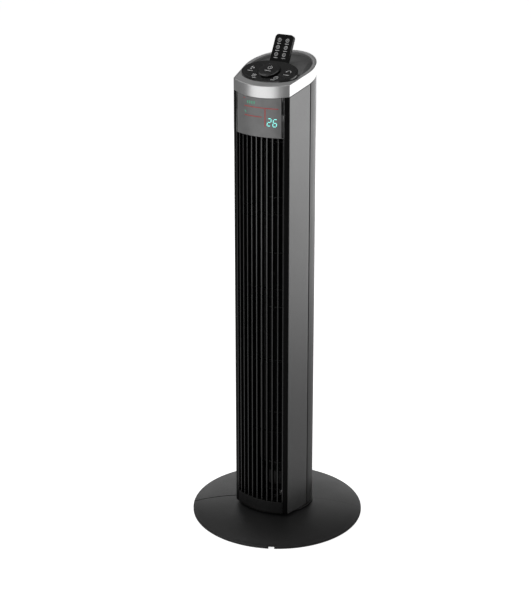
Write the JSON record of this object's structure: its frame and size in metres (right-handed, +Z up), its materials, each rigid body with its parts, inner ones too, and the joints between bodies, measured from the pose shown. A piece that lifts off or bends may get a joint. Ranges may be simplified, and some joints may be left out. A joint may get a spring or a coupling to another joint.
{
  "type": "tower fan",
  "caption": "Slim oscillating tower fan on a round dished base, with finned outlet, rear intake, sloped push-button top and a card remote in its holder.",
  "frame": {"origin": "on the floor, under the swivel axis at the centre of the round base", "axes": "+Z up along the column, -Y the way the air outlet faces at rest, +X to the right seen from the front"},
  "size_m": [0.3486, 0.3486, 0.9899],
  "materials": {
    "base_plastic": "fine-grained satin black",
    "inner_plastic": "matt black moulding",
    "rubber": "matt",
    "steel": "satin",
    "black_plastic": "satin black",
    "lower_panel": "satin charcoal",
    "display_lens": "gloss, tinted",
    "circuit_board": "lacquered board",
    "side_paint": "plastic with metallic gunmetal paint, satin",
    "rear_paint": "plastic with graphite paint, satin",
    "silver_trim": "plastic with silver paint, satin",
    "cap_grey": "plastic with graphite paint, satin",
    "panel_gloss": "piano black",
    "remote_plastic": "satin black",
    "remote_keys": "matt"
  },
  "bodies": {
    "base": {"base_front_half": "base_plastic", "base_rear_half": "base_plastic", "base_hub": "inner_plastic", "glide_ring": "inner_plastic", "foot_1": "rubber", "foot_2": "rubber", "foot_3": "rubber", "foot_4": "rubber", "base_screw_1": "steel", "base_screw_2": "steel", "base_screw_3": "steel", "base_screw_4": "steel"},
    "column": {"bottom_chassis": "inner_plastic", "swivel_tube": "steel", "front_frame": "black_plastic", "lower_panel": "lower_panel", "front_grille": "black_plastic", "display_lens": "display_lens", "display_board": "circuit_board", "side_panel_left": "side_paint", "side_panel_right": "side_paint", "rear_housing": "rear_paint", "housing_screw_1": "steel", "housing_screw_2": "steel", "housing_screw_3": "steel", "housing_screw_4": "steel", "cable_gland": "rubber", "silver_trim": "silver_trim", "top_cap": "cap_grey", "control_panel": "panel_gloss", "control_board": "circuit_board", "remote_holder": "inner_plastic", "main_motor": "steel", "motor_bracket": "inner_plastic", "upper_bearing": "rubber", "bearing_bracket": "inner_plastic", "scroll_wall": "inner_plastic", "nose_wall": "inner_plastic", "oscillation_motor": "steel", "power_board": "circuit_board"},
    "blower": {"impeller": "inner_plastic", "impeller_coupling": "steel", "impeller_journal": "steel"},
    "crank": {"crank": "inner_plastic"},
    "power_button": {"power_button": "panel_gloss"},
    "button_left": {"button_left": "panel_gloss"},
    "button_front_left": {"button_front_left": "panel_gloss"},
    "button_front_right": {"button_front_right": "panel_gloss"},
    "button_right": {"button_right": "panel_gloss"},
    "remote": {"remote_front": "remote_plastic", "remote_back": "remote_plastic", "battery_drawer": "remote_plastic"},
    "key_1": {"remote_key_1": "remote_keys"},
    "key_2": {"remote_key_2": "remote_keys"},
    "key_3": {"remote_key_3": "remote_keys"},
    "key_4": {"remote_key_4": "remote_keys"},
    "key_5": {"remote_key_5": "remote_keys"},
    "key_6": {"remote_key_6": "remote_keys"}
  },
  "joints": [
    {"name": "swivel", "type": "hinge", "parent": "base", "child": "column", "pos_m": [0, 0, 0], "axis": [0, 0, 1], "range_deg": [-7, 63]},
    {"name": "blower_spin", "type": "hinge", "parent": "column", "child": "blower", "pos_m": [0, 0.012, 0], "axis": [0, 0, 1], "continuous": true},
    {"name": "crank_turn", "type": "hinge", "parent": "column", "child": "crank", "pos_m": [0, 0.031, 0], "axis": [0, 0, 1], "continuous": true},
    {"name": "power_press", "type": "slide", "parent": "column", "child": "power_button", "axis": [0, 0.4226, -0.9063], "range_m": [0, 0.001], "stiffness_N_per_m": 600, "springref_m": -0.0005},
    {"name": "left_press", "type": "slide", "parent": "column", "child": "button_left", "axis": [0, 0.4226, -0.9063], "range_m": [0, 0.0008], "stiffness_N_per_m": 600, "springref_m": -0.0005},
    {"name": "front_left_press", "type": "slide", "parent": "column", "child": "button_front_left", "axis": [0, 0.4226, -0.9063], "range_m": [0, 0.0008], "stiffness_N_per_m": 600, "springref_m": -0.0005},
    {"name": "front_right_press", "type": "slide", "parent": "column", "child": "button_front_right", "axis": [0, 0.4226, -0.9063], "range_m": [0, 0.0008], "stiffness_N_per_m": 600, "springref_m": -0.0005},
    {"name": "right_press", "type": "slide", "parent": "column", "child": "button_right", "axis": [0, 0.4226, -0.9063], "range_m": [0, 0.0008], "stiffness_N_per_m": 600, "springref_m": -0.0005},
    {"name": "remote_lift", "type": "slide", "parent": "column", "child": "remote", "axis": [0, 0.4462, 0.8949], "range_m": [0, 0.09]},
    {"name": "key_1_press", "type": "slide", "parent": "remote", "child": "key_1", "axis": [0, 0.8949, -0.4462], "range_m": [0, 0.0006], "stiffness_N_per_m": 400, "springref_m": -0.0004},
    {"name": "key_2_press", "type": "slide", "parent": "remote", "child": "key_2", "axis": [0, 0.8949, -0.4462], "range_m": [0, 0.0006], "stiffness_N_per_m": 400, "springref_m": -0.0004},
    {"name": "key_3_press", "type": "slide", "parent": "remote", "child": "key_3", "axis": [0, 0.8949, -0.4462], "range_m": [0, 0.0006], "stiffness_N_per_m": 400, "springref_m": -0.0004},
    {"name": "key_4_press", "type": "slide", "parent": "remote", "child": "key_4", "axis": [0, 0.8949, -0.4462], "range_m": [0, 0.0006], "stiffness_N_per_m": 400, "springref_m": -0.0004},
    {"name": "key_5_press", "type": "slide", "parent": "remote", "child": "key_5", "axis": [0, 0.8949, -0.4462], "range_m": [0, 0.0006], "stiffness_N_per_m": 400, "springref_m": -0.0004},
    {"name": "key_6_press", "type": "slide", "parent": "remote", "child": "key_6", "axis": [0, 0.8949, -0.4462], "range_m": [0, 0.0006], "stiffness_N_per_m": 400, "springref_m": -0.0004}
  ]
}
